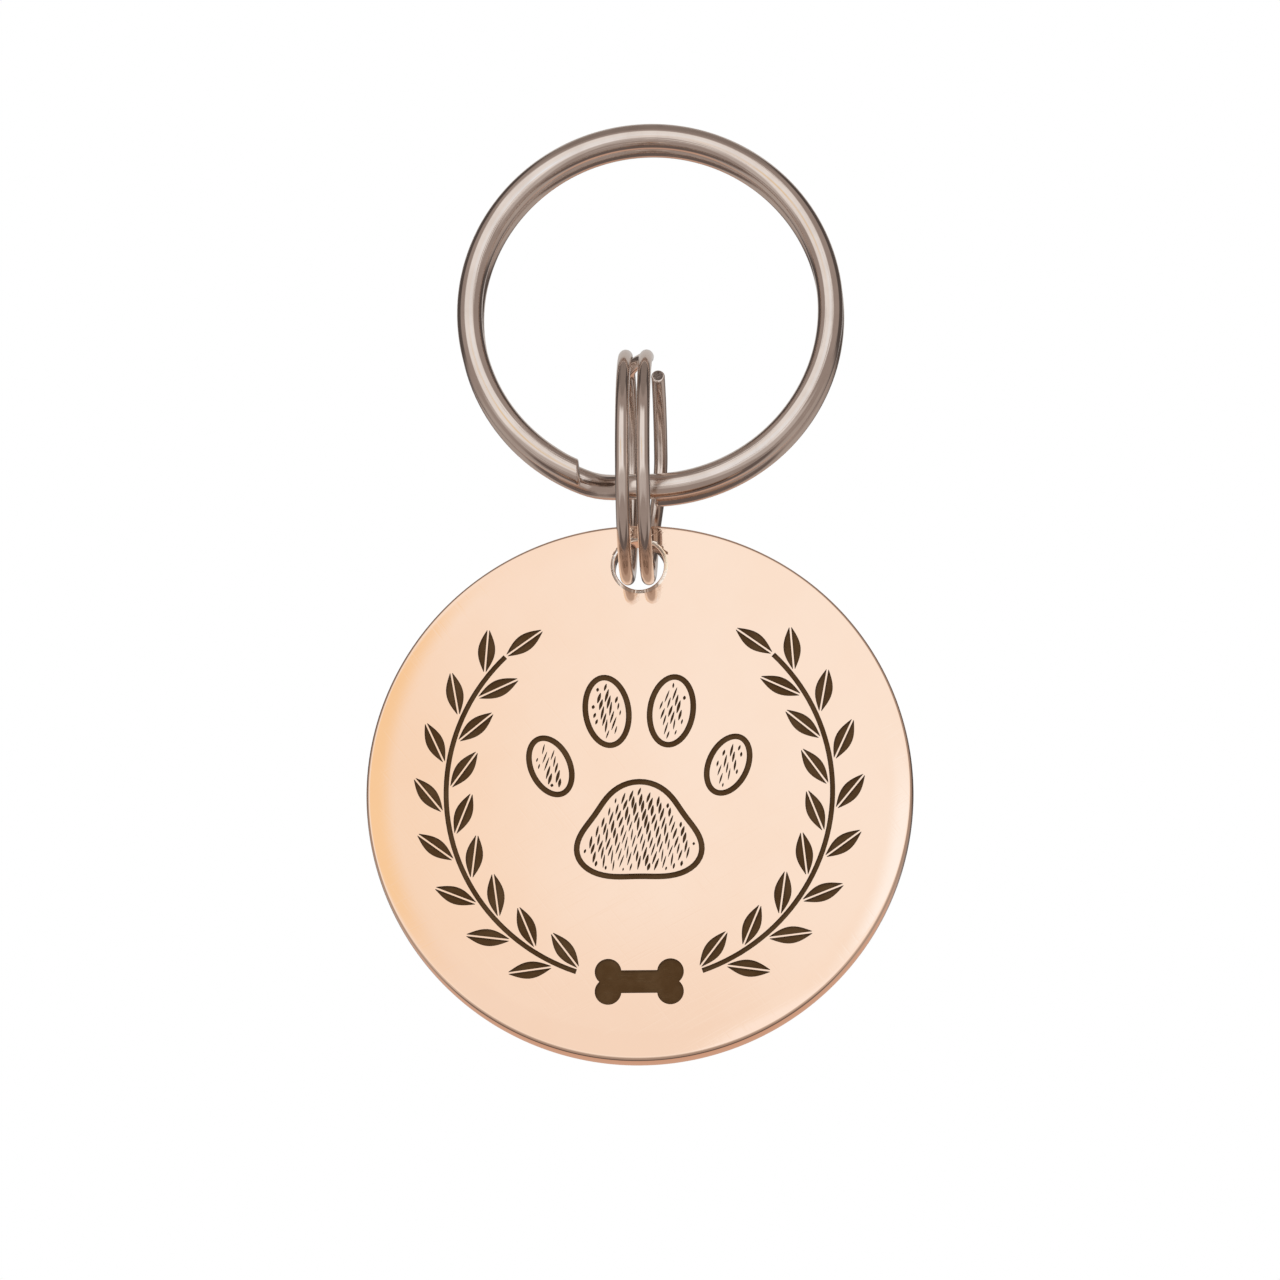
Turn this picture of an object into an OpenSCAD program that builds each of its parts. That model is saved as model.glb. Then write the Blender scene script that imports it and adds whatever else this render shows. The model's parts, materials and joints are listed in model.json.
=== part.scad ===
// A pet's identity tag: a round engraved disc on a small split ring, which
// hangs on a larger split ring that goes to the collar.
// The origin is where the collar bears, inside the top of the collar ring.
// X runs across the disc, Y from its engraved face to its back, Z is up.

/* [Disc] */
// Diameter of the disc
disc_d = 32; // [28:0.5:38]
// Thickness of the disc
disc_t = 1.8; // [1.2:0.1:2.2]
// Width of the bevel along both edges of the disc
disc_bevel = 0.15; // [0.05:0.05:0.3]
// Diameter of the hole that the tag ring goes through
hole_d = 2.9; // [2.8:0.1:3.8]
// Metal left between the hole and the edge of the disc
hole_web = 1; // [0.8:0.1:2]
// Width of the bevel round both mouths of the hole
hole_bevel = 0.12; // [0.05:0.01:0.2]

/* [Engraving] */
// Depth of the engraved lines and fields
cut_depth = 0.1; // [0.05:0.05:0.3]
// Width of the paw print over its outer toes
paw_w = 13; // [9:0.5:14]
// Radius of the two stems that curve round the paw print
wreath_r = 11.3; // [10.6:0.1:12]
// Width of a stem
stem_w = 0.3; // [0.2:0.05:0.5]
// Bare metal between a stem and its leaves
stem_gap = 0.15; // [0.1:0.05:0.3]
// Length of a leaf
leaf_l = 2.5; // [1.5:0.1:3]
// Width of a leaf
leaf_w = 0.95; // [0.5:0.05:1.2]
// Pairs of leaves along each stem
leaf_pairs = 8; // [4:1:9]
// Length of the little bone under the paw print
bone_l = 5.2; // [3:0.2:6]

/* [Tag ring] */
// Outside diameter of the small split ring
tag_ring_d = 13.8; // [12:0.2:18]
// Thickness of its wire
tag_wire_d = 0.8; // [0.6:0.05:0.95]
// Gap between its two turns
tag_turn_gap = 0.42; // [0.41:0.01:0.6]
// How far its loose end springs away from the turns
tag_end_spring = 0.5; // [0:0.1:0.8]

/* [Collar ring] */
// Outside diameter of the large split ring
collar_ring_d = 22.8; // [18:0.2:30]
// Thickness of its wire
collar_wire_d = 1.5; // [1:0.05:1.8]
// Gap between its two turns
collar_turn_gap = 0.42; // [0.41:0.01:0.6]

/* [Fit and pose] */
// Clearance between the tag ring's wire and the disc's hole
hole_fit = 0.1; // [0.05:0.05:0.3]
// Clearance between the two rings where they bear on each other
ring_fit = 0.2; // [0.15:0.05:0.4]
// How far the middle of the disc's thickness lies behind the tag ring's middle
disc_back = 3.4; // [0:0.1:3.9]
// Lean of the collar ring, its top to the back
collar_lean = 0.5; // [0:0.5:15]
// How far below its rearmost point the tag ring bears on the collar ring
bear_drop = 4.8; // [-10:0.1:10]
// How far left of the collar ring's foot the tag ring hangs
tag_aside = 0.6; // [0:0.1:1]

/* [Hidden] */

// One overrun serves all cuts
over = disc_bevel;

// Sides of a wire, degrees between its stations, and the bevel of a cut end
wire_sides = 12;
station_step = 9;
end_bevel_share = 0.25;

// Places along a ring are angles, seen with the first turn nearest. Each ring
// starts at its first end, runs clockwise, climbs from the first turn to the
// second one, and ends just short of where it started to climb. The tag ring's
// first end stays sprung for a while and then closes up on the turns.
end_room = 2;
tag_end_at = 69;
tag_climb = 27;
tag_sprung_for = 50;
tag_closes_over = 55;
collar_end_at = 247;
collar_climb = 20;

tag_ring_r = (tag_ring_d - tag_wire_d) / 2;
tag_pitch = tag_wire_d + tag_turn_gap;
collar_ring_r = (collar_ring_d - collar_wire_d) / 2;
collar_pitch = collar_wire_d + collar_turn_gap;

// The collar ring stands with the inside of its top at the origin
function leant(v) = let (a = collar_lean)
    [v.x, v.y * cos(a) + v.z * sin(a), v.z * cos(a) - v.y * sin(a)];
collar_mid_z = collar_wire_d / 2 - collar_ring_r;
collar_foot_z = collar_mid_z - collar_ring_r;
collar_mid = leant([0, 0, collar_mid_z]);
collar_axis = leant([0, 1, 0]);
rear_turn_foot = leant([0, collar_pitch / 2, collar_foot_z]);

// The tag ring bears on the rear turn of the collar ring from behind, a little
// to the left of its foot
bear_reach = tag_ring_r - tag_wire_d / 2 - collar_wire_d / 2 - ring_fit;
tag_mid = rear_turn_foot + bear_reach * [0, -cos(bear_drop), sin(bear_drop)]
    - [tag_aside, 0, 0];

// The tag ring's wire rises towards the back on its way through the disc. Both
// its turns lie low in the front mouth of the hole, clear of its wall.
mouth_back = disc_back - disc_t / 2;
wire_below_mid = sqrt(pow(tag_ring_r, 2) - pow(mouth_back, 2));
wire_half_height = tag_wire_d / 2 * tag_ring_r / wire_below_mid;
hole_reach = hole_d / 2 - wire_half_height - hole_fit;
wire_below_hole = sqrt(pow(hole_reach, 2) - pow(tag_pitch / 2, 2));
hole_up = disc_d / 2 - hole_web - hole_d / 2;
disc_mid = tag_mid + [0, disc_back, wire_below_hole - wire_below_mid - hole_up];

// Points

function wave(t) = t * t * (3 - 2 * t);

function unit_share(x) = min(1, max(0, x));

function wire_point(s, r, pitch, start, climb, spring) = let (
        turn = 360 - climb - end_room,
        climbed = wave(unit_share((s - turn) / climb)),
        sprung = 1 - wave(unit_share((s - tag_sprung_for) / tag_closes_over)))
    [r * cos(start - s), r * sin(start - s), pitch * (1 / 2 - climbed) + spring * sprung];

function wire_ring(at, toward, wire_r) = let (
        out = [at.x, at.y, 0] / norm([at.x, at.y]),
        along = toward / norm(toward),
        side = cross(along, out))
    [for (i = [0:wire_sides - 1]) let (a = 360 * i / wire_sides)
        at + wire_r * (cos(a) * out + sin(a) * side)];

// Stations along a wire, with one more close to each end for its bevel
function stations(sweep, bevel) = let (n = round(sweep / station_step))
    concat(0, bevel, [for (i = [1:n - 1]) sweep * i / n], sweep - bevel, sweep);

function wire_path(st, r, pitch, start, climb, spring) =
    [for (s = st) wire_point(s, r, pitch, start, climb, spring)];

// Least gap between parts of a path that lie at least half a turn apart
function least_gap(path, wire_d) = let (
        half = round(180 / station_step), n = len(path))
    min([for (i = [0:n - 1 - half], j = [i + half:n - 1]) norm(path[i] - path[j])])
        - wire_d;

function oval_points(w, h, n) =
    [for (i = [0:n - 1]) [w * cos(360 * i / n), h * sin(360 * i / n)] / 2];

// A rounded three-lobed field, one lobe up
function pad_points(w, h, n) = [for (i = [0:n - 1]) let (
        a = 360 * i / n, swell = 1 - sin(3 * a) / 8)
    swell * [w * cos(a), h * sin(a)] / 2];

function leaf_points(l, w, n) = concat(
    [for (i = [0:n - 1]) [l * i / n, w * sin(180 * i / n) / 2]],
    [for (i = [n:-1:1]) [l * i / n, -w * sin(180 * i / n) / 2]]);

function arc_points(r, from, to, n) =
    [for (i = [0:n]) let (a = from + (to - from) * i / n) [r * cos(a), r * sin(a)]];

// Wire

module split_ring(name, r, wire_d, pitch, start, climb, spring) {
    sweep = 2 * (360 - climb - end_room) + climb;
    bevel = wire_d * end_bevel_share;
    st = stations(sweep, bevel / r * 180 / PI);
    n = len(st);
    path = wire_path(st, r, pitch, start, climb, spring);
    rings = [for (i = [0:n - 1])
        wire_ring(path[i], path[min(i + 1, n - 1)] - path[max(i - 1, 0)],
            wire_d / 2 - (i == 0 || i == n - 1 ? bevel : 0))];
    m = wire_sides;
    walls = [for (i = [0:n - 2], j = [0:m - 1]) let (
            a = i * m + j, b = i * m + (j + 1) % m)
        each [[a, b + m, b], [a, a + m, b + m]]];
    caps = [for (j = [1:m - 2]) each [
        [0, j, j + 1], (n - 1) * m * [1, 1, 1] + [0, j + 1, j]]];
    polyhedron([for (q = rings) each q], concat(walls, caps), convexity = 8);
    echo(str(name, " least gap between turns"), least_gap(path, wire_d));
}

// Engraving, drawn flat with the disc's middle at zero

// Each toe is given by its middle, its width and height, and its slant
toe_shares = [
    [-0.40, 0.12, 0.20, 0.30, 24],
    [-0.145, 0.37, 0.22, 0.34, 8],
    [0.145, 0.37, 0.22, 0.34, -8],
    [0.40, 0.12, 0.20, 0.30, -24]];
pad_share = [0.56, 0.46];
pad_drop_share = 0.2;
wreath_from = -71;
wreath_to = 46;
leaf_spread = 34;
knob_share = 0.3;
shaft_share = 0.26;

module paw_print() {
    for (q = toe_shares)
        translate(paw_w * [q[0], q[1]]) rotate(q[4])
            polygon(oval_points(paw_w * q[2], paw_w * q[3], 24));
    translate([0, -paw_w * pad_drop_share])
        polygon(pad_points(paw_w * pad_share.x, paw_w * pad_share.y, 40));
}

module sprig() {
    polygon(concat(
        arc_points(wreath_r - stem_w / 2, wreath_from, wreath_to, 24),
        arc_points(wreath_r + stem_w / 2, wreath_to, wreath_from, 24)));
    step = (wreath_to - wreath_from) / leaf_pairs;
    for (i = [0:leaf_pairs - 1], side = [-1, 1])
        rotate(wreath_from + step * (i + (side + 1) / 4))
            translate([wreath_r + side * (stem_w / 2 + stem_gap), 0])
                rotate(90 - side * leaf_spread)
                    polygon(leaf_points(leaf_l, leaf_w, 7));
    rotate(wreath_to) translate([wreath_r, stem_gap]) rotate(90 + leaf_spread / 4)
        polygon(leaf_points(leaf_l, leaf_w, 7));
}

module bone() {
    knob = bone_l * knob_share;
    square([bone_l - knob, bone_l * shaft_share], center = true);
    for (x = [-1, 1], y = [-1, 1])
        translate([x * (bone_l - knob), y * knob * 3 / 4] / 2)
            circle(d = knob, $fn = 32);
}

module engraving() {
    paw_print();
    sprig();
    mirror([1, 0]) sprig();
    translate([0, -wreath_r]) bone();
}

// Sub-parts

module tag_disc() {
    r = disc_d / 2;
    t = disc_t / 2;
    b = disc_bevel;
    hole_r = hole_d / 2;
    mouth = hole_bevel;
    color("#e9b896") translate(disc_mid) rotate([90, 0, 0]) difference() {
        rotate_extrude($fn = 180) polygon([
            [0, -t], [r - b, -t], [r, b - t], [r, t - b], [r - b, t], [0, t]]);
        translate([0, hole_up]) {
            cylinder(h = disc_t + 2 * over, r = hole_r, center = true, $fn = 64);
            for (side = [0, 180]) rotate([side, 0, 0]) translate([0, 0, t - mouth])
                cylinder(h = 2 * mouth, r1 = hole_r, r2 = hole_r + 2 * mouth, $fn = 64);
        }
        translate([0, 0, t - cut_depth]) linear_extrude(cut_depth + over) engraving();
    }
}

module tag_ring() {
    color("#8f7f76") translate(tag_mid) rotate([90, 0, 90])
        split_ring("tag ring", tag_ring_r, tag_wire_d, tag_pitch,
            tag_end_at, tag_climb, tag_end_spring);
}

module collar_ring() {
    color("#9c8c82") rotate([-collar_lean, 0, 0])
        translate([0, 0, collar_mid_z]) rotate([90, 0, 0])
            split_ring("collar ring", collar_ring_r, collar_wire_d, collar_pitch,
                collar_end_at, collar_climb, 0);
}

tag_disc();
tag_ring();
collar_ring();

echo("collar ring middle", collar_mid, "axis", collar_axis);
echo("tag ring middle", tag_mid);
echo("disc middle", disc_mid, "wire below hole", wire_below_hole);
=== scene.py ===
# A round pet tag on two split rings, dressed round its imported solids: the
# engraved rose gold disc, the small ring that holds it and the larger ring
# that goes to the collar. Lengths are in metres and angles in radians.

import json
import math

import bmesh
import bpy
from mathutils import Matrix, Vector


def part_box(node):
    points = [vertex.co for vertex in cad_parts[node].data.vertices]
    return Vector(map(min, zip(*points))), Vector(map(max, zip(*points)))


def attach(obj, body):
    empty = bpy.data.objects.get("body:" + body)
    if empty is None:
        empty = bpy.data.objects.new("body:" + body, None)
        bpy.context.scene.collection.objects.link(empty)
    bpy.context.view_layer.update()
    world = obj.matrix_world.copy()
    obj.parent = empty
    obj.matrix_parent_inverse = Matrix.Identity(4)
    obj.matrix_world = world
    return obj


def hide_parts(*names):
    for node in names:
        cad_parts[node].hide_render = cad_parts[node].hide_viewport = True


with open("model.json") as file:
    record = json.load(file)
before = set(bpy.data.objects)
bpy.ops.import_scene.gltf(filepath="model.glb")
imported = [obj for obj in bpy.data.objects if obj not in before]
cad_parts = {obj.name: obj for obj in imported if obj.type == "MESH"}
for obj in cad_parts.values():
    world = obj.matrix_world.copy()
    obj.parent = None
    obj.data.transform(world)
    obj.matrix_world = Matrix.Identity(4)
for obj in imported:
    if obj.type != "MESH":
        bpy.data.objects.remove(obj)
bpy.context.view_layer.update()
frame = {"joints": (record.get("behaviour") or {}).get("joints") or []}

MM = 0.001
TAU = math.tau
degrees = math.radians

# The wire of each ring, and its run round the ring, as in the solids
BOTH_RINGS = {
    "End room": degrees(2),
    "Sprung for": degrees(50),
    "Closes over": degrees(55),
    "Bevel share": 0.25,
    "Slant reach share": 1.5,
    "Stations": 560,
    "End crowding": 0.97,
    "Sides": 36,
}
TAG_RING = {
    "Wire diameter": 0.8 * MM,
    "Turn gap": 0.42 * MM,
    "First end": degrees(69),
    "Climb": degrees(27),
    "Spring": 0.5 * MM,
    "Cut slant": 0.12,
}
COLLAR_RING = {
    "Wire diameter": 1.5 * MM,
    "Turn gap": 0.42 * MM,
    "First end": degrees(247),
    "Climb": degrees(20),
    "Spring": 0.0,
    "Cut slant": 0.4,
}
RING_CREASE = degrees(40)

# The disc: its edges, its hole and the depth of its engraving. The polishing
# wheel has bent its faces back towards the edge and crowned its rim. These
# slopes, and that of the hole's rim, are in degrees.
EDGE_R = 0.2 * MM
CROWN_SLOPE = 4.0
WORN_WIDTH = 1.5 * MM
WORN_SLOPE = 3.0
HOLE_D = 2.9 * MM
HOLE_WEB = 1.0 * MM
HOLE_EDGE = 0.06 * MM
RIM_WIDTH = 0.17 * MM
RIM_SLOPE = 9.0
RIM_DROP = RIM_WIDTH * math.tan(degrees(RIM_SLOPE))
HOLE_MOUTH_R = HOLE_D / 2 + HOLE_EDGE
HOLE_RIM_R = HOLE_MOUTH_R + RIM_WIDTH
CUT_DEPTH = 0.1 * MM
CUT_MARGIN = 0.01
DISC_STEPS = 256
HOLE_STEPS = 96
EDGE_STEPS = 8
CROWN_STEPS = 5
WORN_STEPS = 10

# A face is flat when its normal stands this straight, and two faces that meet
# at a greater turn than this have a crisp edge between them
FLAT_NORMAL = 0.9999
SOFT_TURN = 0.5

# The engraving, flat, with the disc's middle at zero. Each toe is given by its
# middle, width and height as shares of the paw's width, and its slant in degrees.
PAW_W = 13.0 * MM
TOE_SHARES = [
    (-0.40, 0.12, 0.20, 0.30, 24),
    (-0.145, 0.37, 0.22, 0.34, 8),
    (0.145, 0.37, 0.22, 0.34, -8),
    (0.40, 0.12, 0.20, 0.30, -24),
]
TOE_STEPS = 48
PAD_SHARE = (0.56, 0.46)
PAD_DROP_SHARE = 0.2
LOBES = 3
LOBE_SHARE = 0.125
PAD_STEPS = 72
CONTOUR_W = 0.34 * MM
CONTOUR_GAP = 0.1 * MM
BONE_L = 5.2 * MM
KNOB_SHARE = 0.3
KNOB_RISE_SHARE = 0.75
SHAFT_SHARE = 0.26
KNOB_STEPS = 20
HATCHING = {
    "Span": 17.0 * MM,
    "Row spacing": 0.2 * MM,
    "Stroke length": 0.85 * MM,
    "Stroke gap": 0.1 * MM,
    "Stroke width": 0.15 * MM,
    "Stroke tip": 0.03 * MM,
    "Stroke steps": 10,
    "Shortest": 0.75,
    "Stagger share": 0.37,
    "Thinnest": 0.6,
    "Thickest": 1.25,
    "Thin below": 0.38,
    "Thick above": 0.62,
    "Shade size": 2.2 * MM,
    "Slant": degrees(76),
    "Wander": degrees(7),
    "Seed": 4,
}
SPRIG = {
    "Stem radius": 11.3 * MM,
    "Stem width": 0.3 * MM,
    "Stem steps": 48,
    "From": degrees(-71),
    "To": degrees(46),
    "Leaf pairs": 8,
    "Leaf length": 2.5 * MM,
    "Leaf width": 0.95 * MM,
    "Leaf spread": degrees(34),
    "End leaf spread": degrees(8.5),
    "Leaf gap": 0.15 * MM,
    "Leaf steps": 14,
    "Rib width": 0.1 * MM,
    "Tip width": 0.03 * MM,
}

# Colours
ROSE_GOLD = (0.956, 0.716, 0.558, 1)
ROSE_GOLD_DEEP = (0.93, 0.65, 0.47, 1)
# A pale colour that paints a highlight on the hole's rim
PAINTED_HIGHLIGHT = (1, 0.94, 0.86, 1)
ENGRAVED = (0.073, 0.032, 0.006, 1)
ENGRAVED_PALE = (0.14, 0.08, 0.035, 1)
WIRE = (0.76, 0.66, 0.595, 1)
WIRE_DARK = (0.6, 0.5, 0.44, 1)
CUT_STEEL = (0.15, 0.115, 0.1, 1)
FLOOR = (0.86, 0.85, 0.84, 1)
WHITE = (1, 1, 1, 1)

# The level of noise where hairlines and handled patches begin, and where they
# are full. A share of each patch is finer than the rest, so many times over.
LINES_FROM = 0.58
LINES_FULL = 0.72
PATCHES_FROM = 0.42
PATCHES_FULL = 0.62
FINE_SHARE = 0.25
FINE_SCALE = 5

# The camera looks up at the tag from below and from its right. The frame has
# its width at the point that the camera aims at.
CAMERA_AZIMUTH = degrees(2.6)
CAMERA_RISE = degrees(-12.5)
CAMERA_DISTANCE = 0.8
FRAME_WIDTH = 75.13 * MM
AIM = (-0.64 * MM, 0.0, -29.51 * MM)
SENSOR = 36.0
CLIP_START = 0.05
CLIP_END = 100.0

# The lights, a plain sky and one soft lamp, and the floor
SKY_LIGHT = 0.85
BACKDROP_LIGHT = 1.0
LAMP_POWER = 6.0
LAMP_SIZE = 0.7
LAMP_PLACE = (-0.5, -0.7, 0.8)
FLOOR_Z = -0.24
FLOOR_SIZE = 12.0
FLOOR_ROUGHNESS = 0.6

# The tent round the tag, which only polished metal sees. Each panel is given by
# its middle, to the right of straight ahead of the disc's face and up, and by
# half its width and height, all in degrees, then its soft edge and its colour.
TENT_R = 0.2
TENT_SUBDIVISIONS = 5
TENT_MIDDLE = (0.0, -0.005, -0.03)
TENT_CLOTH = (0.39, 0.335, 0.31, 1)
TENT_PANELS = {
    "dark flag, above and behind": (180, 48, 90, 44, 10, (0.1, 0.085, 0.08, 1)),
    "dark flag, below and behind": (180, -62, 100, 26, 12, (0.16, 0.13, 0.12, 1)),
    "grey cloth behind": (180, -20, 78, 14, 8, (0.48, 0.43, 0.4, 1)),
    "light cloth behind": (180, 37, 34, 23, 6, (0.6, 0.57, 0.55, 1)),
    "warm cloth behind": (180, -17, 24, 18, 6, (0.62, 0.4, 0.3, 1)),
    "dim flag, overhead": (0, 78, 180, 17, 8, (0.28, 0.24, 0.22, 1)),
    "grey silk, in front and below": (-3, -21, 62, 15, 7, (0.6, 0.56, 0.54, 1)),
    "front silk": (-8.5, 17.5, 39.5, 29.5, 10, WHITE),
    "cool glow": (6, 16.5, 10, 10, 6, (1.015, 1.06, 1.1, 1)),
    "warm glow": (-12, 5, 6, 7, 6, (0.98, 0.92, 0.84, 1)),
    "warm glow, below": (-6, 0, 6, 5.5, 4, (0.96, 0.92, 0.89, 1)),
    "warm card": (-15, 10.5, 4.75, 7, 5, (0.98, 0.82, 0.58, 1)),
    "bright card": (9.5, 6, 4, 4, 4, (1.06, 1.2, 1.34, 1)),
    "bright card, below": (7, -3.5, 6.5, 4.7, 1.5, (1.04, 1.08, 1.14, 1)),
}


class Term:
    """A socket of a node tree. Arithmetic on it adds Math nodes to the tree."""

    def __init__(self, socket):
        self.socket = socket
        self.tree = socket.id_data

    def math(self, operation, *others):
        made = self.tree.nodes.new("ShaderNodeMath")
        made.operation = operation
        for slot, value in zip(made.inputs, (self, *others)):
            feed(slot, value)
        return Term(made.outputs[0])

    def __add__(self, other):
        return self.math("ADD", other)

    def __sub__(self, other):
        return self.math("SUBTRACT", other)

    def __rsub__(self, other):
        return self.math("MULTIPLY", -1.0).math("ADD", other)

    def __mul__(self, other):
        return self.math("MULTIPLY", other)

    def __truediv__(self, other):
        return self.math("DIVIDE", other)

    def __rtruediv__(self, other):
        return self.math("POWER", -1.0) * other

    __radd__ = __add__


def feed(slot, value):
    """Links a node's input to a socket, or sets it to a constant."""
    if isinstance(value, Term):
        value = value.socket
    if isinstance(value, bpy.types.NodeSocket):
        slot.id_data.links.new(value, slot)
    else:
        slot.default_value = value


def node(tree, kind, feeds=(), **settings):
    """Adds a node. Feeds are its inputs, by name or by number, and settings are
    its own properties."""
    made = tree.nodes.new(kind)
    for name, value in settings.items():
        setattr(made, name, value)
    for key, value in dict(feeds).items():
        feed(made.inputs[key], value)
    return made


SOCKETS = {
    "number": "NodeSocketFloat",
    "count": "NodeSocketInt",
    "vector": "NodeSocketVector",
    "material": "NodeSocketMaterial",
    "shape": "NodeSocketGeometry",
}


def new_tree(name, kind, takes, gives):
    """A node tree, its named inputs as terms, and the inputs of its last node."""
    tree = bpy.data.node_groups.new(name, kind)
    for label, form in takes.items():
        tree.interface.new_socket(label, in_out="INPUT", socket_type=SOCKETS[form])
    for label, form in gives.items():
        tree.interface.new_socket(label, in_out="OUTPUT", socket_type=SOCKETS[form])
    entry = tree.nodes.new("NodeGroupInput")
    last = tree.nodes.new("NodeGroupOutput")
    return tree, {label: Term(entry.outputs[label]) for label in takes}, last.inputs


def vector(tree, x=0.0, y=0.0, z=0.0):
    return Term(node(tree, "ShaderNodeCombineXYZ", {"X": x, "Y": y, "Z": z}).outputs[0])


def parts_of(value):
    """The X, Y and Z of a vector."""
    split = node(value.tree, "ShaderNodeSeparateXYZ", {0: value})
    return [Term(socket) for socket in split.outputs]


def ramp(value, low, high, to_low=0.0, to_high=1.0, smooth=False):
    """Carries a value from one range to another, held at both ends."""
    form = "SMOOTHSTEP" if smooth else "LINEAR"
    feeds = {0: value, 1: low, 2: high, 3: to_low, 4: to_high}
    made = node(value.tree, "ShaderNodeMapRange", feeds, interpolation_type=form)
    return Term(made.outputs[0])


def moved(shape, position):
    """Gives each point of a shape a new place."""
    made = node(shape.tree, "GeometryNodeSetPosition", {0: shape, "Position": position})
    return Term(made.outputs[0])


def position_in(tree):
    return Term(node(tree, "GeometryNodeInputPosition").outputs[0])


def index_in(tree):
    return Term(node(tree, "GeometryNodeInputIndex").outputs[0])


def shifted(shape, offset):
    made = node(shape.tree, "GeometryNodeSetPosition", {0: shape, "Offset": offset})
    return Term(made.outputs[0])


def stored(shape, name, form, value):
    made = node(shape.tree, "GeometryNodeStoreNamedAttribute",
                {"Geometry": shape, "Name": name, "Value": value}, data_type=form)
    return Term(made.outputs[0])


def named(tree, name, form):
    made = node(tree, "GeometryNodeInputNamedAttribute", {0: name}, data_type=form)
    return Term(made.outputs[0])


def joined(tree, *shapes):
    made = tree.nodes.new("GeometryNodeJoinGeometry")
    for shape in shapes:
        tree.links.new(shape.socket, made.inputs[0])
    return Term(made.outputs[0])


def flipped(shape):
    return Term(node(shape.tree, "GeometryNodeFlipFaces", {0: shape}).outputs[0])


def mirrored(shape, scale):
    """Mirrors a flat shape and keeps its faces upward."""
    made = node(shape.tree, "GeometryNodeTransform", {0: shape, "Scale": scale})
    return flipped(Term(made.outputs[0]))


def strip(tree, columns):
    """A flat strip of quads, with its two coordinates from 0 to 1 as terms."""
    grid = node(tree, "GeometryNodeMeshGrid",
                {"Size X": 1.0, "Size Y": 1.0, "Vertices X": columns, "Vertices Y": 2})
    x, y, _ = parts_of(position_in(tree))
    return Term(grid.outputs["Mesh"]), x + 0.5, y + 0.5


def swelling(share):
    """Rises from 0 to 1 halfway along, and falls back to 0."""
    return (share * (TAU / 2)).math("SINE").math("MAXIMUM", 0.0)


def finished(out, shape, material):
    """The end of each tree that makes a piece."""
    tree = shape.tree
    real = node(tree, "GeometryNodeRealizeInstances", {0: shape})
    dressed = node(tree, "GeometryNodeSetMaterial",
                   {0: real.outputs[0], "Material": material})
    feed(out[0], dressed.outputs[0])
    return dressed


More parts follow.
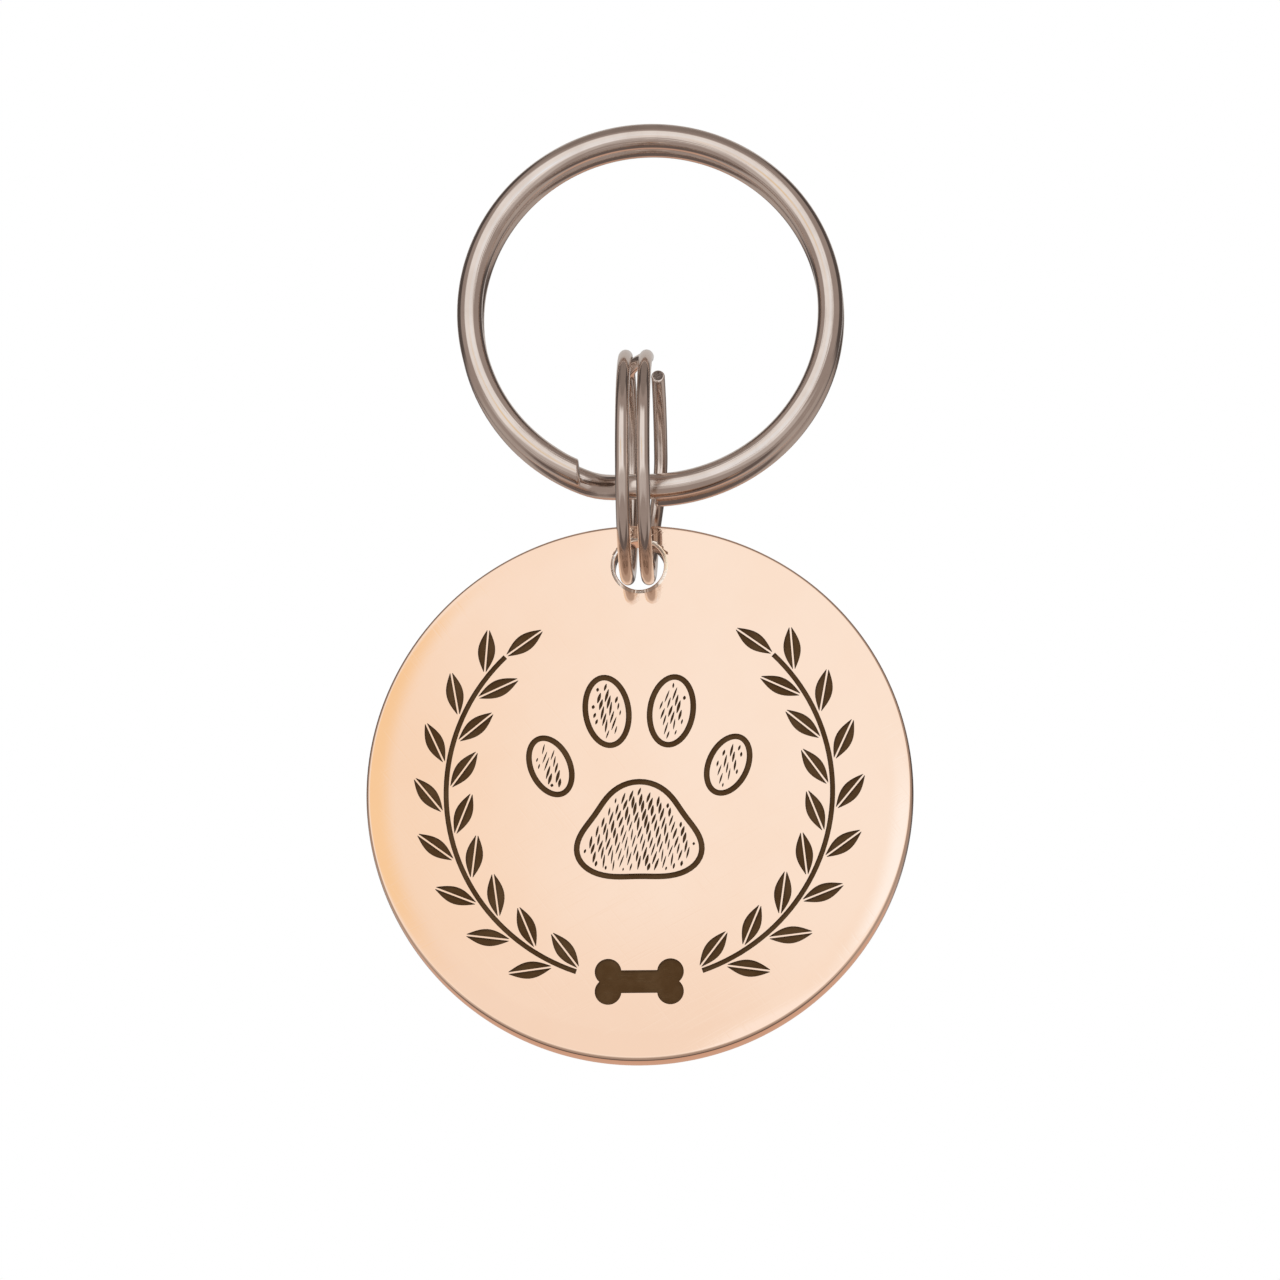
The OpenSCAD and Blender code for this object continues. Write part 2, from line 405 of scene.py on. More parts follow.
def split_ring_tree():
    """One wire, two turns: it runs round in the front turn, climbs, and runs
    round again behind. Stations crowd towards both ends, for their bevels."""
    tree, size, out = new_tree(
        "Split ring", "GeometryNodeTree",
        {"Ring diameter": "number", "Wire diameter": "number", "Turn gap": "number",
         "First end": "number", "Climb": "number", "End room": "number",
         "Spring": "number", "Sprung for": "number", "Closes over": "number",
         "Bevel share": "number", "Cut slant": "number", "Slant reach share": "number",
         "Stations": "count", "End crowding": "number", "Sides": "count",
         "Wire": "material", "Cut face": "material"},
        {"Ring": "shape"})
    wire_r = size["Wire diameter"] / 2
    ring_r = size["Ring diameter"] / 2 - wire_r
    pitch = size["Wire diameter"] + size["Turn gap"]
    turn = TAU - size["Climb"] - size["End room"]
    sweep = turn * 2 + size["Climb"]

    line = node(tree, "GeometryNodeMeshLine", {"Count": size["Stations"]})
    path = Term(node(tree, "GeometryNodeMeshToCurve", {0: line.outputs[0]}).outputs[0])
    share = index_in(tree) / (size["Stations"] - 1)
    crowded = share - (share * TAU).math("SINE") * (size["End crowding"] / TAU)
    swept = sweep * crowded
    climbed = ramp(swept, turn, turn + size["Climb"], smooth=True)
    held = size["Sprung for"]
    sprung = 1 - ramp(swept, held, held + size["Closes over"], smooth=True)
    angle = size["First end"] - swept
    height = pitch * (0.5 - climbed) + size["Spring"] * sprung
    path = moved(path, vector(
        tree, angle.math("COSINE") * ring_r, angle.math("SINE") * ring_r, height))
    path = stored(path, "along", "FLOAT", swept * ring_r)
    upright = node(tree, "GeometryNodeSetCurveNormal", {0: path}, mode="Z_UP")

    profile = node(tree, "GeometryNodeCurvePrimitiveCircle",
                   {"Resolution": size["Sides"], "Radius": wire_r})
    profile = stored(Term(profile.outputs[0]), "across", "FLOAT_VECTOR", position_in(tree))
    bevel = size["Bevel share"] * wire_r
    from_end = swept.math("MINIMUM", sweep - swept) * ring_r
    short = (1 - from_end / bevel).math("MAXIMUM", 0.0)
    drawn_in = 1 - (1 - short * short).math("MAXIMUM", 0.0).math("SQRT")
    tube = node(tree, "GeometryNodeCurveToMesh",
                {0: upright.outputs[0], 1: profile, "Scale": 1 - drawn_in * size["Bevel share"],
                 "Fill Caps": True})
    tube = Term(tube.outputs[0])

    along = named(tree, "along", "FLOAT")
    section_x, section_y, _ = parts_of(named(tree, "across", "FLOAT_VECTOR"))
    tube = stored(tube, "wire_way", "FLOAT_VECTOR", vector(tree, along, section_x, section_y))
    slant_reach = size["Wire diameter"] * size["Slant reach share"]
    lean = ramp(along, 0.0, slant_reach, 1.0, 0.0, smooth=True)
    start = size["First end"]
    shear = size["Cut slant"] * section_x * lean
    tube = shifted(tube, vector(
        tree, start.math("SINE") * shear, start.math("COSINE") * shear * -1.0))

    # The tube's sides are all quads, so a face with more corners closes an end
    smooth = Term(node(tree, "GeometryNodeSetShadeSmooth", {0: tube}).outputs[0])
    corners = Term(node(tree, "GeometryNodeInputMeshFaceNeighbors").outputs["Vertex Count"])
    at_end = corners.math("GREATER_THAN", 4.0)
    dressed = finished(out, smooth, size["Wire"])
    ends = node(tree, "GeometryNodeSetMaterial",
                {0: dressed.outputs[0], "Selection": at_end, "Material": size["Cut face"]})
    feed(out[0], ends.outputs[0])
    return tree


def sprig_tree():
    """A stem with pairs of leaves that curves along the disc's edge, and its
    mirror image. Each leaf is in two halves, with its rib left bare."""
    tree, size, out = new_tree(
        "Sprig", "GeometryNodeTree",
        {"Stem radius": "number", "Stem width": "number", "Stem steps": "count",
         "From": "number", "To": "number", "Leaf pairs": "count",
         "Leaf length": "number", "Leaf width": "number", "Leaf spread": "number",
         "End leaf spread": "number", "Leaf gap": "number", "Leaf steps": "count",
         "Rib width": "number", "Tip width": "number", "Cut": "material"},
        {"Sprig": "shape"})
    half, u, v = strip(tree, size["Leaf steps"])
    blade = size["Tip width"] + (size["Leaf width"] - size["Rib width"]) / 2 * swelling(u)
    half = moved(half, vector(tree, u * size["Leaf length"],
                              size["Rib width"] / 2 + blade * v))
    leaf = joined(tree, half, mirrored(half, (1, -1, 1)))

    count = size["Leaf pairs"] * 2
    points = node(tree, "GeometryNodeMeshLine", {"Count": count})
    index = index_in(tree)
    odd = index.math("MODULO", 2.0)
    side = odd * 2 - 1
    step = (size["To"] - size["From"]) / size["Leaf pairs"]
    angle = size["From"] + step * ((index / 2).math("FLOOR") + odd / 2)
    reach = size["Stem radius"] + side * (size["Stem width"] / 2 + size["Leaf gap"])
    points = moved(Term(points.outputs[0]), vector(
        tree, angle.math("COSINE") * reach, angle.math("SINE") * reach))
    turned = angle + TAU / 4 - side * size["Leaf spread"]
    rows = node(tree, "GeometryNodeInstanceOnPoints",
                {"Points": points, "Instance": leaf, "Rotation": vector(tree, 0, 0, turned)})

    end = size["To"]
    tip = node(tree, "GeometryNodeTransform",
               {0: leaf,
                "Translation": vector(
                    tree,
                    end.math("COSINE") * size["Stem radius"] - end.math("SINE") * size["Leaf gap"],
                    end.math("SINE") * size["Stem radius"] + end.math("COSINE") * size["Leaf gap"]),
                "Rotation": vector(tree, 0, 0, end + TAU / 4 + size["End leaf spread"])})

    stem, u, v = strip(tree, size["Stem steps"])
    angle = size["From"] + (size["To"] - size["From"]) * u
    reach = size["Stem radius"] + size["Stem width"] * (v - 0.5)
    stem = flipped(moved(stem, vector(
        tree, angle.math("COSINE") * reach, angle.math("SINE") * reach)))

    right = joined(tree, stem, Term(rows.outputs[0]), Term(tip.outputs[0]))
    real = Term(node(tree, "GeometryNodeRealizeInstances", {0: right}).outputs[0])
    finished(out, joined(tree, real, mirrored(real, (-1, 1, 1))), size["Cut"])
    return tree


def hatching_tree():
    """Short strokes in rows that fill flat pads like fur, thick in some patches
    and thin in others."""
    tree, size, out = new_tree(
        "Hatching", "GeometryNodeTree",
        {"Pads": "shape", "Span": "number", "Row spacing": "number",
         "Stroke length": "number", "Stroke gap": "number", "Stroke width": "number",
         "Stroke tip": "number", "Stroke steps": "count", "Shortest": "number",
         "Stagger share": "number", "Thinnest": "number", "Thickest": "number",
         "Thin below": "number", "Thick above": "number", "Shade size": "number",
         "Slant": "number", "Wander": "number", "Seed": "count", "Cut": "material"},
        {"Strokes": "shape"})
    stroke, u, v = strip(tree, size["Stroke steps"])
    wide = size["Stroke tip"] + (size["Stroke width"] - size["Stroke tip"]) * swelling(u)
    stroke = moved(stroke, vector(tree, size["Stroke length"] * (u - 0.5), wide * (v - 0.5)))

    pitch = size["Stroke length"] + size["Stroke gap"]
    grid = node(tree, "GeometryNodeMeshGrid",
                {"Size X": size["Span"], "Size Y": size["Span"],
                 "Vertices X": (size["Span"] / pitch).math("FLOOR"),
                 "Vertices Y": (size["Span"] / size["Row spacing"]).math("FLOOR")})
    x, y, _ = parts_of(position_in(tree))
    row = (y / size["Row spacing"]).math("ROUND")
    staggered = x + pitch * (row * size["Stagger share"]).math("FRACT")
    c, s = size["Slant"].math("COSINE"), size["Slant"].math("SINE")
    points = moved(Term(grid.outputs[0]), vector(
        tree, staggered * c - y * s, staggered * s + y * c))

    x, y, _ = parts_of(position_in(tree))
    hit = node(tree, "GeometryNodeRaycast",
               {0: size["Pads"], "Source Position": vector(tree, x, y, size["Span"]),
                "Ray Length": size["Span"] * 2})
    edge = node(tree, "GeometryNodeProximity", {0: size["Pads"]}, target_element="EDGES")
    room = Term(edge.outputs["Distance"]) - size["Stroke width"] / 2
    inside = Term(hit.outputs["Is Hit"]) * room.math("GREATER_THAN", size["Stroke width"] / 2)
    wander = node(tree, "FunctionNodeRandomValue",
                  {2: size["Wander"] * -1.0, 3: size["Wander"], "Seed": size["Seed"]})
    longest = node(tree, "FunctionNodeRandomValue",
                   {2: size["Shortest"], 3: 1.0, "Seed": size["Seed"] + 1})
    fit = (room / (size["Stroke length"] / 2)).math("MINIMUM", Term(longest.outputs[1]))
    shade = node(tree, "ShaderNodeTexNoise",
                 {"Vector": vector(tree, x, y), "Scale": 1 / size["Shade size"], "Detail": 1.0})
    thick = ramp(Term(shade.outputs[0]), size["Thin below"], size["Thick above"],
                 size["Thinnest"], size["Thickest"])
    strokes = node(tree, "GeometryNodeInstanceOnPoints",
                   {"Points": points, "Selection": inside, "Instance": stroke,
                    "Rotation": vector(tree, 0, 0, size["Slant"] + Term(wander.outputs[1])),
                    "Scale": vector(tree, fit, thick, 1.0)})
    finished(out, Term(strokes.outputs[0]), size["Cut"])
    return tree


def made_by(tree, name, values, start=None):
    """Runs a tree with the values named, and gives back its result as a plain
    mesh object. The start is the mesh that the tree works on, if it takes one."""
    piece = bpy.data.objects.new(name, start or bpy.data.meshes.new(name))
    bpy.context.scene.collection.objects.link(piece)
    modifier = piece.modifiers.new(tree.name, "NODES")
    modifier.node_group = tree
    for item in tree.interface.items_tree:
        if item.in_out == "INPUT" and item.name in values:
            modifier[item.identifier] = values[item.name]
    return settled(piece)


def settled(piece):
    """Turns what a piece's modifiers make into its plain mesh."""
    seen = piece.evaluated_get(bpy.context.evaluated_depsgraph_get())
    mesh = bpy.data.meshes.new_from_object(seen)
    piece.modifiers.clear()
    piece.data = mesh
    mesh.name = piece.name
    return piece


def from_bmesh(name, made):
    mesh = bpy.data.meshes.new(name)
    made.to_mesh(mesh)
    made.free()
    piece = bpy.data.objects.new(name, mesh)
    bpy.context.scene.collection.objects.link(piece)
    return piece


def arc(middle_x, middle_y, radius, start, end, steps):
    """Points along an arc, given in degrees."""
    angles = [degrees(start + (end - start) * i / steps) for i in range(steps + 1)]
    return [(middle_x + radius * math.cos(a), middle_y + radius * math.sin(a)) for a in angles]


def lathe(name, profile, steps):
    """Turns a profile of (radius, height) points, lowest first, into a solid."""
    made = bmesh.new()
    turns = [TAU * i / steps for i in range(steps)]
    rows = [[made.verts.new((r * math.cos(a), r * math.sin(a), z)) for a in turns]
            for r, z in profile]
    for low, high in zip(rows, rows[1:]):
        for i in range(steps):
            j = (i + 1) % steps
            made.faces.new((low[i], low[j], high[j], high[i]))
    made.faces.new(reversed(rows[0]))
    made.faces.new(rows[-1])
    return from_bmesh(name, made)


def toe_pad(middle_x, middle_y, width, height, slant):
    """An oval, its slant in degrees."""
    c, s = math.cos(degrees(slant)), math.sin(degrees(slant))
    points = []
    for i in range(TOE_STEPS):
        a = TAU * i / TOE_STEPS
        x, y = width / 2 * math.cos(a), height / 2 * math.sin(a)
        points.append((middle_x + x * c - y * s, middle_y + x * s + y * c))
    return points


def heel_pad(width, height, drop):
    """A rounded three-lobed field, one lobe up."""
    points = []
    for i in range(PAD_STEPS):
        a = TAU * i / PAD_STEPS
        swell = 1 - math.sin(LOBES * a) * LOBE_SHARE
        points.append((swell * width / 2 * math.cos(a), swell * height / 2 * math.sin(a) - drop))
    return points


def bone():
    """The outline of a bone: four round knobs and a straight shaft."""
    knob_r = BONE_L * KNOB_SHARE / 2
    knob_x = BONE_L / 2 - knob_r
    knob_y = knob_r * KNOB_RISE_SHARE
    shaft_y = BONE_L * SHAFT_SHARE / 2
    middle_y = -SPRIG["Stem radius"]
    at_shaft = 180 - math.degrees(math.asin((shaft_y - knob_y) / knob_r))
    at_notch = -math.degrees(math.asin(knob_y / knob_r))
    quarter = arc(knob_x, knob_y, knob_r, at_shaft, at_notch, KNOB_STEPS)
    right = quarter + [(x, -y) for x, y in reversed(quarter[:-1])]
    left = [(-x, -y) for x, y in right]
    return [(x, y + middle_y) for x, y in reversed(right + left)]


def flat_face(made, points):
    face = made.faces.new([made.verts.new((x, y, 0)) for x, y in points])
    face.normal_update()
    if face.normal.z < 0:
        face.normal_flip()
    return face


def paw_fields():
    """The paw's five pads, as outlines to cut whole and fields to hatch."""
    outlines = [toe_pad(PAW_W * x, PAW_W * y, PAW_W * w, PAW_W * h, slant)
                for x, y, w, h, slant in TOE_SHARES]
    outlines.append(heel_pad(PAW_W * PAD_SHARE[0], PAW_W * PAD_SHARE[1], PAW_W * PAD_DROP_SHARE))
    made = bmesh.new()
    pads = [flat_face(made, points) for points in outlines]
    whole = bmesh.ops.inset_individual(made, faces=pads, thickness=CONTOUR_W)["faces"]
    bmesh.ops.inset_individual(made, faces=pads, thickness=CONTOUR_GAP)
    fields = bmesh.new()
    for pad in pads:
        flat_face(fields, [(v.co.x, v.co.y) for v in pad.verts])
    kept = set(whole)
    bmesh.ops.delete(made, geom=[f for f in made.faces if f not in kept], context="FACES")
    flat_face(made, bone())
    mesh = bpy.data.meshes.new("paw fields")
    fields.to_mesh(mesh)
    fields.free()
    return from_bmesh("paw contours", made), mesh


def fused(name, pieces):
    """One mesh object from several."""
    made = bmesh.new()
    for piece in pieces:
        made.from_mesh(piece.data)
        bpy.data.objects.remove(piece)
    return from_bmesh(name, made)


def engraving_cutter(face_z):
    """Everything that is engraved, as closed prisms that reach into the face."""
    contours, fields = paw_fields()
    strokes = made_by(hatching_tree(), "strokes", HATCHING, fields)
    sprigs = made_by(sprig_tree(), "sprigs", SPRIG)
    cutter = fused("engraving", [contours, strokes, sprigs])
    cutter.data.transform(Matrix.Translation((0, 0, face_z - CUT_DEPTH)))
    thick = cutter.modifiers.new("Depth", "SOLIDIFY")
    thick.thickness = CUT_DEPTH * 2
    thick.offset = 1
    return settled(cutter)


def cut_from(piece, cutter):
    cut = piece.modifiers.new(cutter.name, "BOOLEAN")
    cut.object = cutter
    cut.solver = "MANIFOLD"
    settled(piece)
    bpy.data.objects.remove(cutter)


def disc_profile(disc_r, half_t):
    """The disc's outline from its back to its front, as (radius, height)
    points, and the radius where its flat face ends."""
    slope = degrees(WORN_SLOPE)
    face_r = WORN_WIDTH / math.sin(slope)
    crown = degrees(CROWN_SLOPE)
    edge_z = half_t - face_r * (1 - math.cos(slope)) - EDGE_R * math.cos(slope)
    crown_r = EDGE_R + edge_z / math.sin(crown)
    edge_r = disc_r - crown_r + (crown_r - EDGE_R) * math.cos(crown)
    flat_r = edge_r + EDGE_R * math.sin(slope) - WORN_WIDTH
    front = arc(disc_r - crown_r, 0, crown_r, 0, CROWN_SLOPE, CROWN_STEPS)
    front += arc(edge_r, edge_z, EDGE_R, CROWN_SLOPE, 90 - WORN_SLOPE, EDGE_STEPS)[1:]
    front += arc(flat_r, half_t - face_r, face_r, 90 - WORN_SLOPE, 90, WORN_STEPS)[1:]
    return [(r, -z) for r, z in reversed(front)] + front[1:], flat_r


def drill_profile(half_t):
    """What leaves the hole with rounded mouths and a sloping rim round each."""
    rim_z = half_t - RIM_DROP
    mouth = arc(HOLE_MOUTH_R, rim_z - HOLE_EDGE, HOLE_EDGE, 180, 90, EDGE_STEPS)
    mouth += [(HOLE_RIM_R, half_t), (HOLE_RIM_R, half_t + HOLE_EDGE)]
    return [(r, -z) for r, z in reversed(mouth)] + mouth


def disc_finish(middle, hole, half_t, flat_r):
    """Which of the disc's materials a face has, from where its middle is: 1 in
    the engraving, 2 on the hole's rim and 0 elsewhere."""
    from_hole = (middle.xy - hole).length
    sunk = half_t - CUT_DEPTH * (1 + CUT_MARGIN) < middle.z < half_t - CUT_DEPTH * CUT_MARGIN
    if sunk and middle.xy.length < flat_r and from_hole > HOLE_RIM_R:
        return 1
    if HOLE_MOUTH_R < from_hole < HOLE_RIM_R and half_t - RIM_DROP < abs(middle.z) < half_t:
        return 2
    return 0


def rose_gold_disc(polished, engraved, painted_highlight):
    """The disc with its edges rounded, its hole and its engraved front."""
    low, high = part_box("tag_disc")
    disc_r = (high.x - low.x) / 2
    half_t = (high.y - low.y) / 2
    profile, flat_r = disc_profile(disc_r, half_t)
    disc = lathe("rose_gold_disc", profile, DISC_STEPS)
    hole = Vector((0, disc_r - HOLE_WEB - HOLE_D / 2))
    drill = lathe("drill", drill_profile(half_t), HOLE_STEPS)
    drill.data.transform(Matrix.Translation(hole.to_3d()))
    cut_from(disc, drill)
    cut_from(disc, engraving_cutter(half_t))

    mesh = disc.data
    mesh.materials.clear()
    # The third material paints a highlight on the hole's rim
    for material in (polished, engraved, painted_highlight):
        mesh.materials.append(material)
    for face in mesh.polygons:
        face.material_index = disc_finish(face.center, hole, half_t, flat_r)
    crisp_flats(mesh, flat_r)
    # It was made lying down, face up, and now stands with its face forward
    facing = Matrix(((1, 0, 0), (0, 0, -1), (0, 1, 0))).to_4x4()
    mesh.transform(Matrix.Translation((low + high) / 2) @ facing)
    return disc


def crisp_flats(mesh, flat_r):
    """Smooth shading for the round edges only, so that flats mirror evenly."""
    made = bmesh.new()
    made.from_mesh(mesh)
    made.normal_update()
    for face in made.faces:
        face.smooth = True
    for edge in made.edges:
        flats = [abs(f.normal.z) > FLAT_NORMAL and f.calc_center_median().xy.length < flat_r
                 for f in edge.link_faces]
        alike = len(flats) == 2 and flats[0] == flats[1]
        edge.smooth = alike and edge.calc_face_angle() < SOFT_TURN
    made.to_mesh(mesh)
    made.free()


def ring_place(joint):
    """A ring's own place. The joint that turns round it gives its middle and
    its axis, and its front turn lies against the axis."""
    out = -Vector(joint["axis"]).normalized()
    up = Vector((0, 0, 1))
    up = (up - up.dot(out) * out).normalized()
    turned = Matrix((up.cross(out), up, out)).transposed().to_4x4()
    return Matrix.Translation(joint["pos_m"]) @ turned


def split_ring(name, node_name, joint_name, sizes, wire, cut_face):
    low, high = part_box(node_name)
    sizes = {**BOTH_RINGS, **sizes, "Wire": wire, "Cut face": cut_face,
             "Ring diameter": max(high.x - low.x, high.z - low.z)}
    tree = bpy.data.node_groups.get("Split ring") or split_ring_tree()
    ring = made_by(tree, name, sizes)
    ring.data.set_sharp_from_angle(angle=RING_CREASE)
    joint = next(j for j in frame["joints"] if j["name"] == joint_name)
    ring.data.transform(ring_place(joint))
    return ring


def new_material(name):
    """A new material, its tree, and its shader with its own sockets to set."""
    material = bpy.data.materials.new(name)
    material.use_nodes = True
    shader = material.node_tree.nodes["Principled BSDF"]
    return material, material.node_tree, shader


def colour_mix(tree, share, first, second):
    made = node(tree, "ShaderNodeMix", {0: share, 6: first, 7: second}, data_type="RGBA")
    return Term(made.outputs[2])


def bump(tree, height, distance):
    made = node(tree, "ShaderNodeBump",
                {"Height": height, "Distance": distance, "Strength": 1.0})
    return Term(made.outputs[0])


def object_place(tree):
    return Term(node(tree, "ShaderNodeTexCoord").outputs["Object"])


def hairlines_group():
    """Fine scratches along one direction, as a mask that is mostly empty."""
    tree, given, out = new_tree(
        "Hairlines", "ShaderNodeTree",
        {"Vector": "vector", "Turn": "number", "Fineness": "number", "Stretch": "number"},
        {"Lines": "number"})
    turned = node(tree, "ShaderNodeVectorRotate",
                  {"Vector": given["Vector"], "Angle": given["Turn"]}, rotation_type="Y_AXIS")
    x, y, z = parts_of(Term(turned.outputs[0]))
    drawn = vector(tree, x * given["Fineness"] / given["Stretch"],
                   y * given["Fineness"], z * given["Fineness"])
    noise = node(tree, "ShaderNodeTexNoise", {"Vector": drawn, "Scale": 1.0, "Detail": 2.0})
    feed(out["Lines"], ramp(Term(noise.outputs[0]), LINES_FROM, LINES_FULL))


def handling_group():
    """Faint smudges and cloudy patches where the metal has been handled."""
    tree, given, out = new_tree(
        "Handling", "ShaderNodeTree",
        {"Vector": "vector", "Patch size": "number"}, {"Patches": "number"})
    scale = 1 / given["Patch size"]
    wide = node(tree, "ShaderNodeTexNoise",
                {"Vector": given["Vector"], "Scale": scale, "Detail": 3.0})
    fine = node(tree, "ShaderNodeTexNoise",
                {"Vector": given["Vector"], "Scale": scale * FINE_SCALE, "Detail": 2.0})
    both = Term(wide.outputs[0]) * (1 - FINE_SHARE) + Term(fine.outputs[0]) * FINE_SHARE
    feed(out["Patches"], ramp(both, PATCHES_FROM, PATCHES_FULL))


def effect(tree, group, feeds):
    """Places a shader group, with its own values, and gives back its mask."""
    made = node(tree, "ShaderNodeGroup", feeds, node_tree=bpy.data.node_groups[group])
    return Term(made.outputs[0])


def hairlines(tree, place, turn, fineness, stretch):
    return effect(tree, "Hairlines",
                  {"Vector": place, "Turn": turn, "Fineness": fineness, "Stretch": stretch})


def handling(tree, place, size):
    return effect(tree, "Handling", {"Vector": place, "Patch size": size})


def dress_metal(shader, colour, roughness, normal, metallic=1.0):
    """Feeds what changes over a metal, and sets how metallic it is."""
    feed(shader.inputs["Base Color"], colour)
    feed(shader.inputs["Roughness"], roughness)
    feed(shader.inputs["Normal"], normal)
    shader.inputs["Metallic"].default_value = metallic


def polished_rose_gold():
    material, tree, shader = new_material("rose gold, polished")
    place = object_place(tree)
    one_way = hairlines(tree, place, turn=0.5, fineness=9000, stretch=40)
    other_way = hairlines(tree, place, turn=-0.9, fineness=7000, stretch=30)
    lines = one_way.math("MAXIMUM", other_way)
    patches = handling(tree, place, size=9 * MM)
    dress_metal(shader,
                colour=colour_mix(tree, patches * 0.25, ROSE_GOLD, ROSE_GOLD_DEEP),
                roughness=0.03 + patches * 0.03 + lines * 0.04,
                normal=bump(tree, lines, -0.0005 * MM))
    return material


def engraved_gold():
    """The floor and the walls of the engraving, burnt dark by the cutting."""
    material, tree, shader = new_material("rose gold, engraved")
    place = object_place(tree)
    lines = hairlines(tree, place, turn=0.0, fineness=14000, stretch=12)
    patches = handling(tree, place, size=2 * MM)
    dress_metal(shader,
                colour=colour_mix(tree, lines * 0.45 + patches * 0.3, ENGRAVED, ENGRAVED_PALE),
                roughness=0.5 + lines * 0.2,
                normal=bump(tree, lines, 0.01 * MM),
                metallic=0.3)
    shader.inputs["Specular IOR Level"].default_value = 0.25
    return material


def painted_highlight_gold():
    """The rim of the hole, painted pale as a highlight."""
    material, tree, shader = new_material("rose gold, burnished")
    place = object_place(tree)
    lines = hairlines(tree, place, turn=0.0, fineness=9000, stretch=8)
    patches = handling(tree, place, size=0.8 * MM)
    dress_metal(shader,
                colour=colour_mix(tree, patches * 0.4, PAINTED_HIGHLIGHT, ROSE_GOLD),
                roughness=0.08 + lines * 0.1,
                normal=bump(tree, lines, -0.001 * MM))
    return material


def nickel_wire():
    """The plating of both rings, with the marks of drawing along the wire."""
    material, tree, shader = new_material("nickel wire")
    way = Term(node(tree, "ShaderNodeAttribute", attribute_name="wire_way").outputs["Vector"])
    drawn = hairlines(tree, way, turn=0.0, fineness=9000, stretch=60)
    patches = handling(tree, way, size=2.5 * MM)
    dress_metal(shader,
                colour=colour_mix(tree, patches * 0.35, WIRE, WIRE_DARK),
                roughness=0.07 + patches * 0.06 + drawn * 0.14,
                normal=bump(tree, drawn, -0.004 * MM))
    return material


def sheared_steel():
    """The bare steel where each wire was cut."""
    material, tree, shader = new_material("wire, cut face")
    place = object_place(tree)
    lines = hairlines(tree, place, turn=0.3, fineness=6000, stretch=6)
    patches = handling(tree, place, size=0.35 * MM)
    worn = (lines * 0.4).math("MAXIMUM", patches * 0.5)
    dress_metal(shader,
                colour=colour_mix(tree, worn, CUT_STEEL, WIRE_DARK),
                roughness=0.35 + patches * 0.2,
                normal=bump(tree, patches + lines, 0.02 * MM))
    return material


def floor():
    material, _, shader = new_material("pale floor")
    shader.inputs["Base Color"].default_value = FLOOR
    shader.inputs["Roughness"].default_value = FLOOR_ROUGHNESS
    reach = FLOOR_SIZE / 2
    made = bmesh.new()
    flat_face(made, [(-reach, -reach), (reach, -reach), (reach, reach), (-reach, reach)])
    ground = from_bmesh("floor", made)
    ground.data.transform(Matrix.Translation((0, 0, FLOOR_Z)))
    ground.data.materials.append(material)


def panel_group():
    """Where one panel of the tent is, as a mask with soft edges."""
    _, given, out = new_tree(
        "Tent panel", "ShaderNodeTree",
        {"Right": "number", "Up": "number", "Middle right": "number", "Middle up": "number",
         "Half width": "number", "Half height": "number", "Soft edge": "number"},
        {"Panel": "number"})
    aside = (given["Right"] - given["Middle right"]).math("WRAP", TAU / 2, -TAU / 2)
    above = given["Up"] - given["Middle up"]
    soft = given["Soft edge"] / 2
    wide = ramp(aside.math("ABSOLUTE"), given["Half width"] - soft,
                given["Half width"] + soft, 1.0, 0.0, smooth=True)
    high = ramp(above.math("ABSOLUTE"), given["Half height"] - soft,
                given["Half height"] + soft, 1.0, 0.0, smooth=True)
    feed(out["Panel"], wide * high)


def tent():
    """The studio as polished metal sees it: dim cloth all round, dark flags and
    lighter cloths behind, and a broad silk in front with warm and cool parts."""
    panel_group()
    material = bpy.data.materials.new("tent cloth")
    material.use_nodes = True
    tree = material.node_tree
    tree.nodes.clear()
    out_from_middle = node(tree, "ShaderNodeVectorMath", {0: object_place(tree), 1: TENT_MIDDLE},
                           operation="SUBTRACT")
    x, y, z = parts_of(Term(out_from_middle.outputs[0]))
    right = x.math("ARCTAN2", y * -1.0)
    up = (z / TENT_R).math("ARCSINE")
    colour = TENT_CLOTH
    for across, rise, half_width, half_height, soft, panel in TENT_PANELS.values():
        mask = effect(tree, "Tent panel", {
            "Right": right, "Up": up, "Middle right": degrees(across),
            "Middle up": degrees(rise), "Half width": degrees(half_width),
            "Half height": degrees(half_height), "Soft edge": degrees(soft)})
        colour = colour_mix(tree, mask, colour, panel)
    glow = node(tree, "ShaderNodeEmission", {"Color": colour, "Strength": 1.0})
    node(tree, "ShaderNodeOutputMaterial", {"Surface": glow.outputs[0]})
    material.cycles.emission_sampling = "NONE"

    made = bmesh.new()
    bmesh.ops.create_icosphere(made, subdivisions=TENT_SUBDIVISIONS, radius=TENT_R)
    cloth = from_bmesh("tent", made)
    cloth.data.transform(Matrix.Translation(TENT_MIDDLE))
    cloth.data.materials.append(material)
    cloth.visible_camera = False
    cloth.visible_diffuse = False
    cloth.visible_shadow = False
    cloth.visible_transmission = False


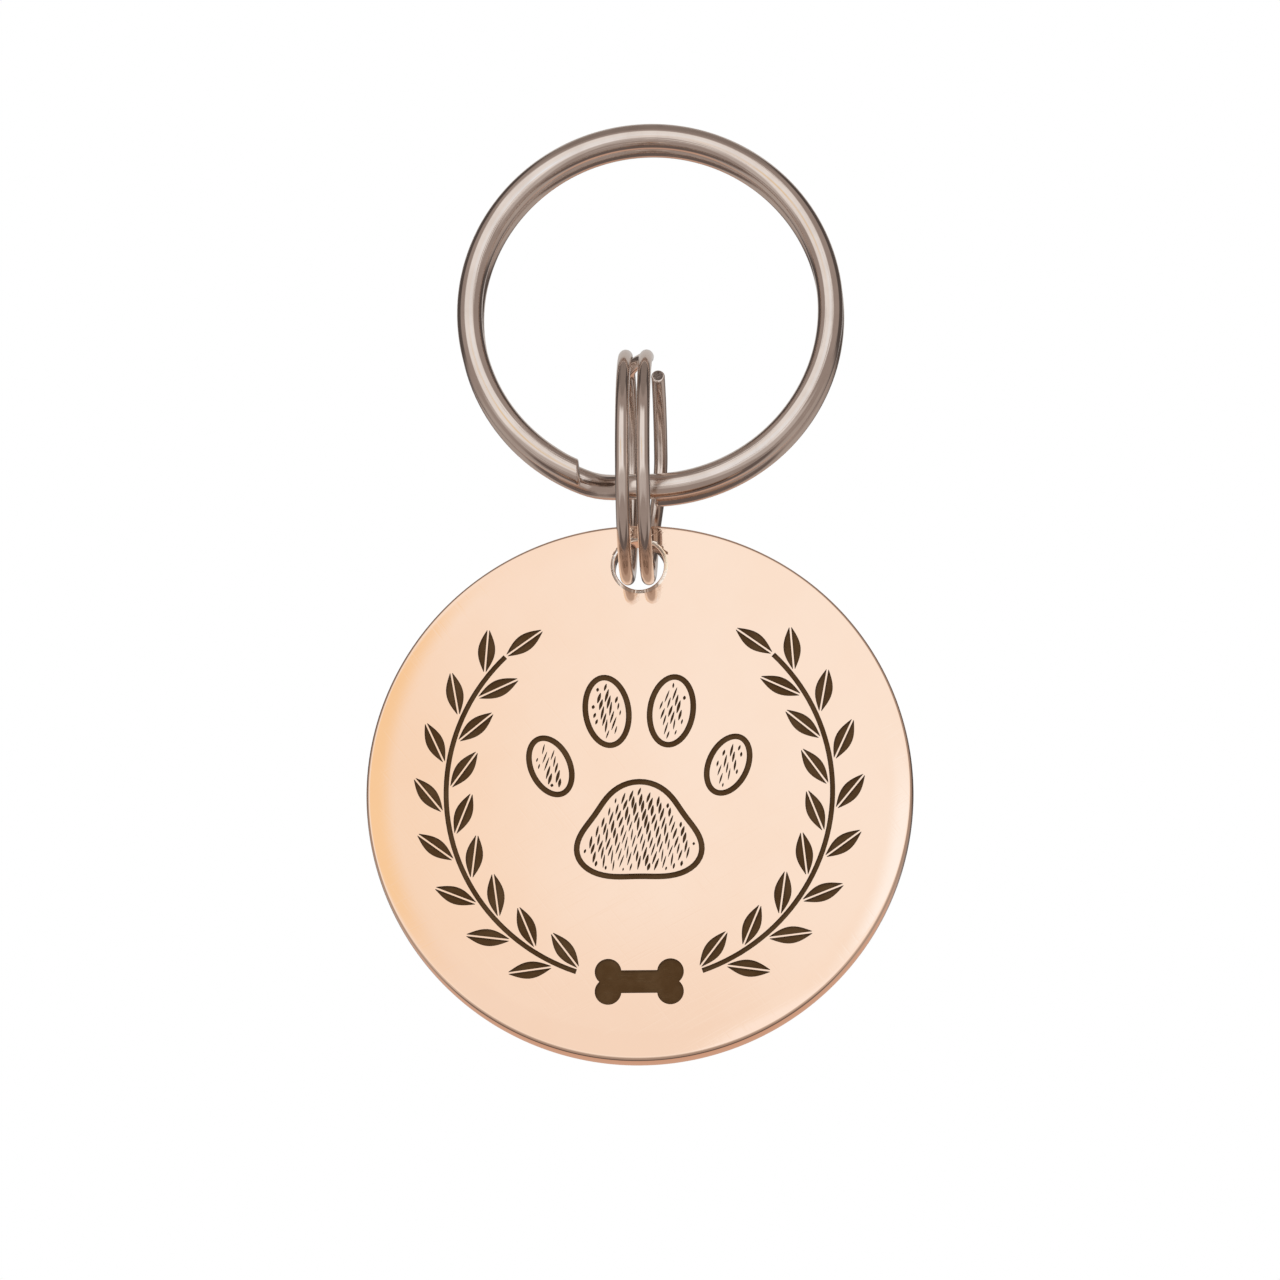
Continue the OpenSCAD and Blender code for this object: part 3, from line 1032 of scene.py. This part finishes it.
def studio():
    """A plain sky, white where it is seen, and a soft lamp high at the front left."""
    world = bpy.data.worlds.new("studio")
    bpy.context.scene.world = world
    world.use_nodes = True
    tree = world.node_tree
    tree.nodes.clear()
    path = node(tree, "ShaderNodeLightPath").outputs
    shown = Term(path["Is Camera Ray"]).math("MAXIMUM", Term(path["Is Glossy Ray"]))
    shown = shown.math("MAXIMUM", Term(path["Is Transmission Ray"]))
    light = node(tree, "ShaderNodeBackground", {"Color": WHITE, "Strength": SKY_LIGHT})
    backdrop = node(tree, "ShaderNodeBackground", {"Color": WHITE, "Strength": BACKDROP_LIGHT})
    both = node(tree, "ShaderNodeMixShader",
                {0: shown, 1: light.outputs[0], 2: backdrop.outputs[0]})
    node(tree, "ShaderNodeOutputWorld", {"Surface": both.outputs[0]})

    lamp = bpy.data.lights.new("softbox", "AREA")
    lamp.energy = LAMP_POWER
    lamp.size = LAMP_SIZE
    key = bpy.data.objects.new("softbox", lamp)
    key.location = LAMP_PLACE
    key.rotation_euler = (-key.location).to_track_quat("-Z", "Y").to_euler()
    key.visible_glossy = False
    key.visible_camera = False
    bpy.context.scene.collection.objects.link(key)


def camera():
    level = math.cos(CAMERA_RISE)
    ahead = Vector((-math.sin(CAMERA_AZIMUTH) * level, math.cos(CAMERA_AZIMUTH) * level,
                    -math.sin(CAMERA_RISE)))
    data = bpy.data.cameras.new("camera")
    data.sensor_width = SENSOR
    data.lens = SENSOR * CAMERA_DISTANCE / FRAME_WIDTH
    data.clip_start = CLIP_START
    data.clip_end = CLIP_END
    made = bpy.data.objects.new("camera", data)
    made.location = Vector(AIM) - ahead * CAMERA_DISTANCE
    made.rotation_euler = ahead.to_track_quat("-Z", "Y").to_euler()
    bpy.context.scene.collection.objects.link(made)
    bpy.context.scene.camera = made


camera()
studio()
floor()
tent()
hairlines_group()
handling_group()

wire, cut_face = nickel_wire(), sheared_steel()
# The disc's third material paints a highlight on the hole's rim
disc = rose_gold_disc(polished_rose_gold(), engraved_gold(), painted_highlight_gold())
small_ring = split_ring("small_split_ring", "tag_ring", "tag_swing", TAG_RING, wire, cut_face)
large_ring = split_ring(
    "large_split_ring", "collar_ring", "tag_ring_travel", COLLAR_RING, wire, cut_face)

for piece, body, replaced, finish in (
        (disc, "tag", "tag_disc", "rose_gold"),
        (small_ring, "tag_ring", "tag_ring", "nickel_wire"),
        (large_ring, "collar_ring", "collar_ring", "nickel_wire")):
    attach(piece, body)
    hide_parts(replaced)

bpy.context.scene.view_settings.view_transform = "Standard"
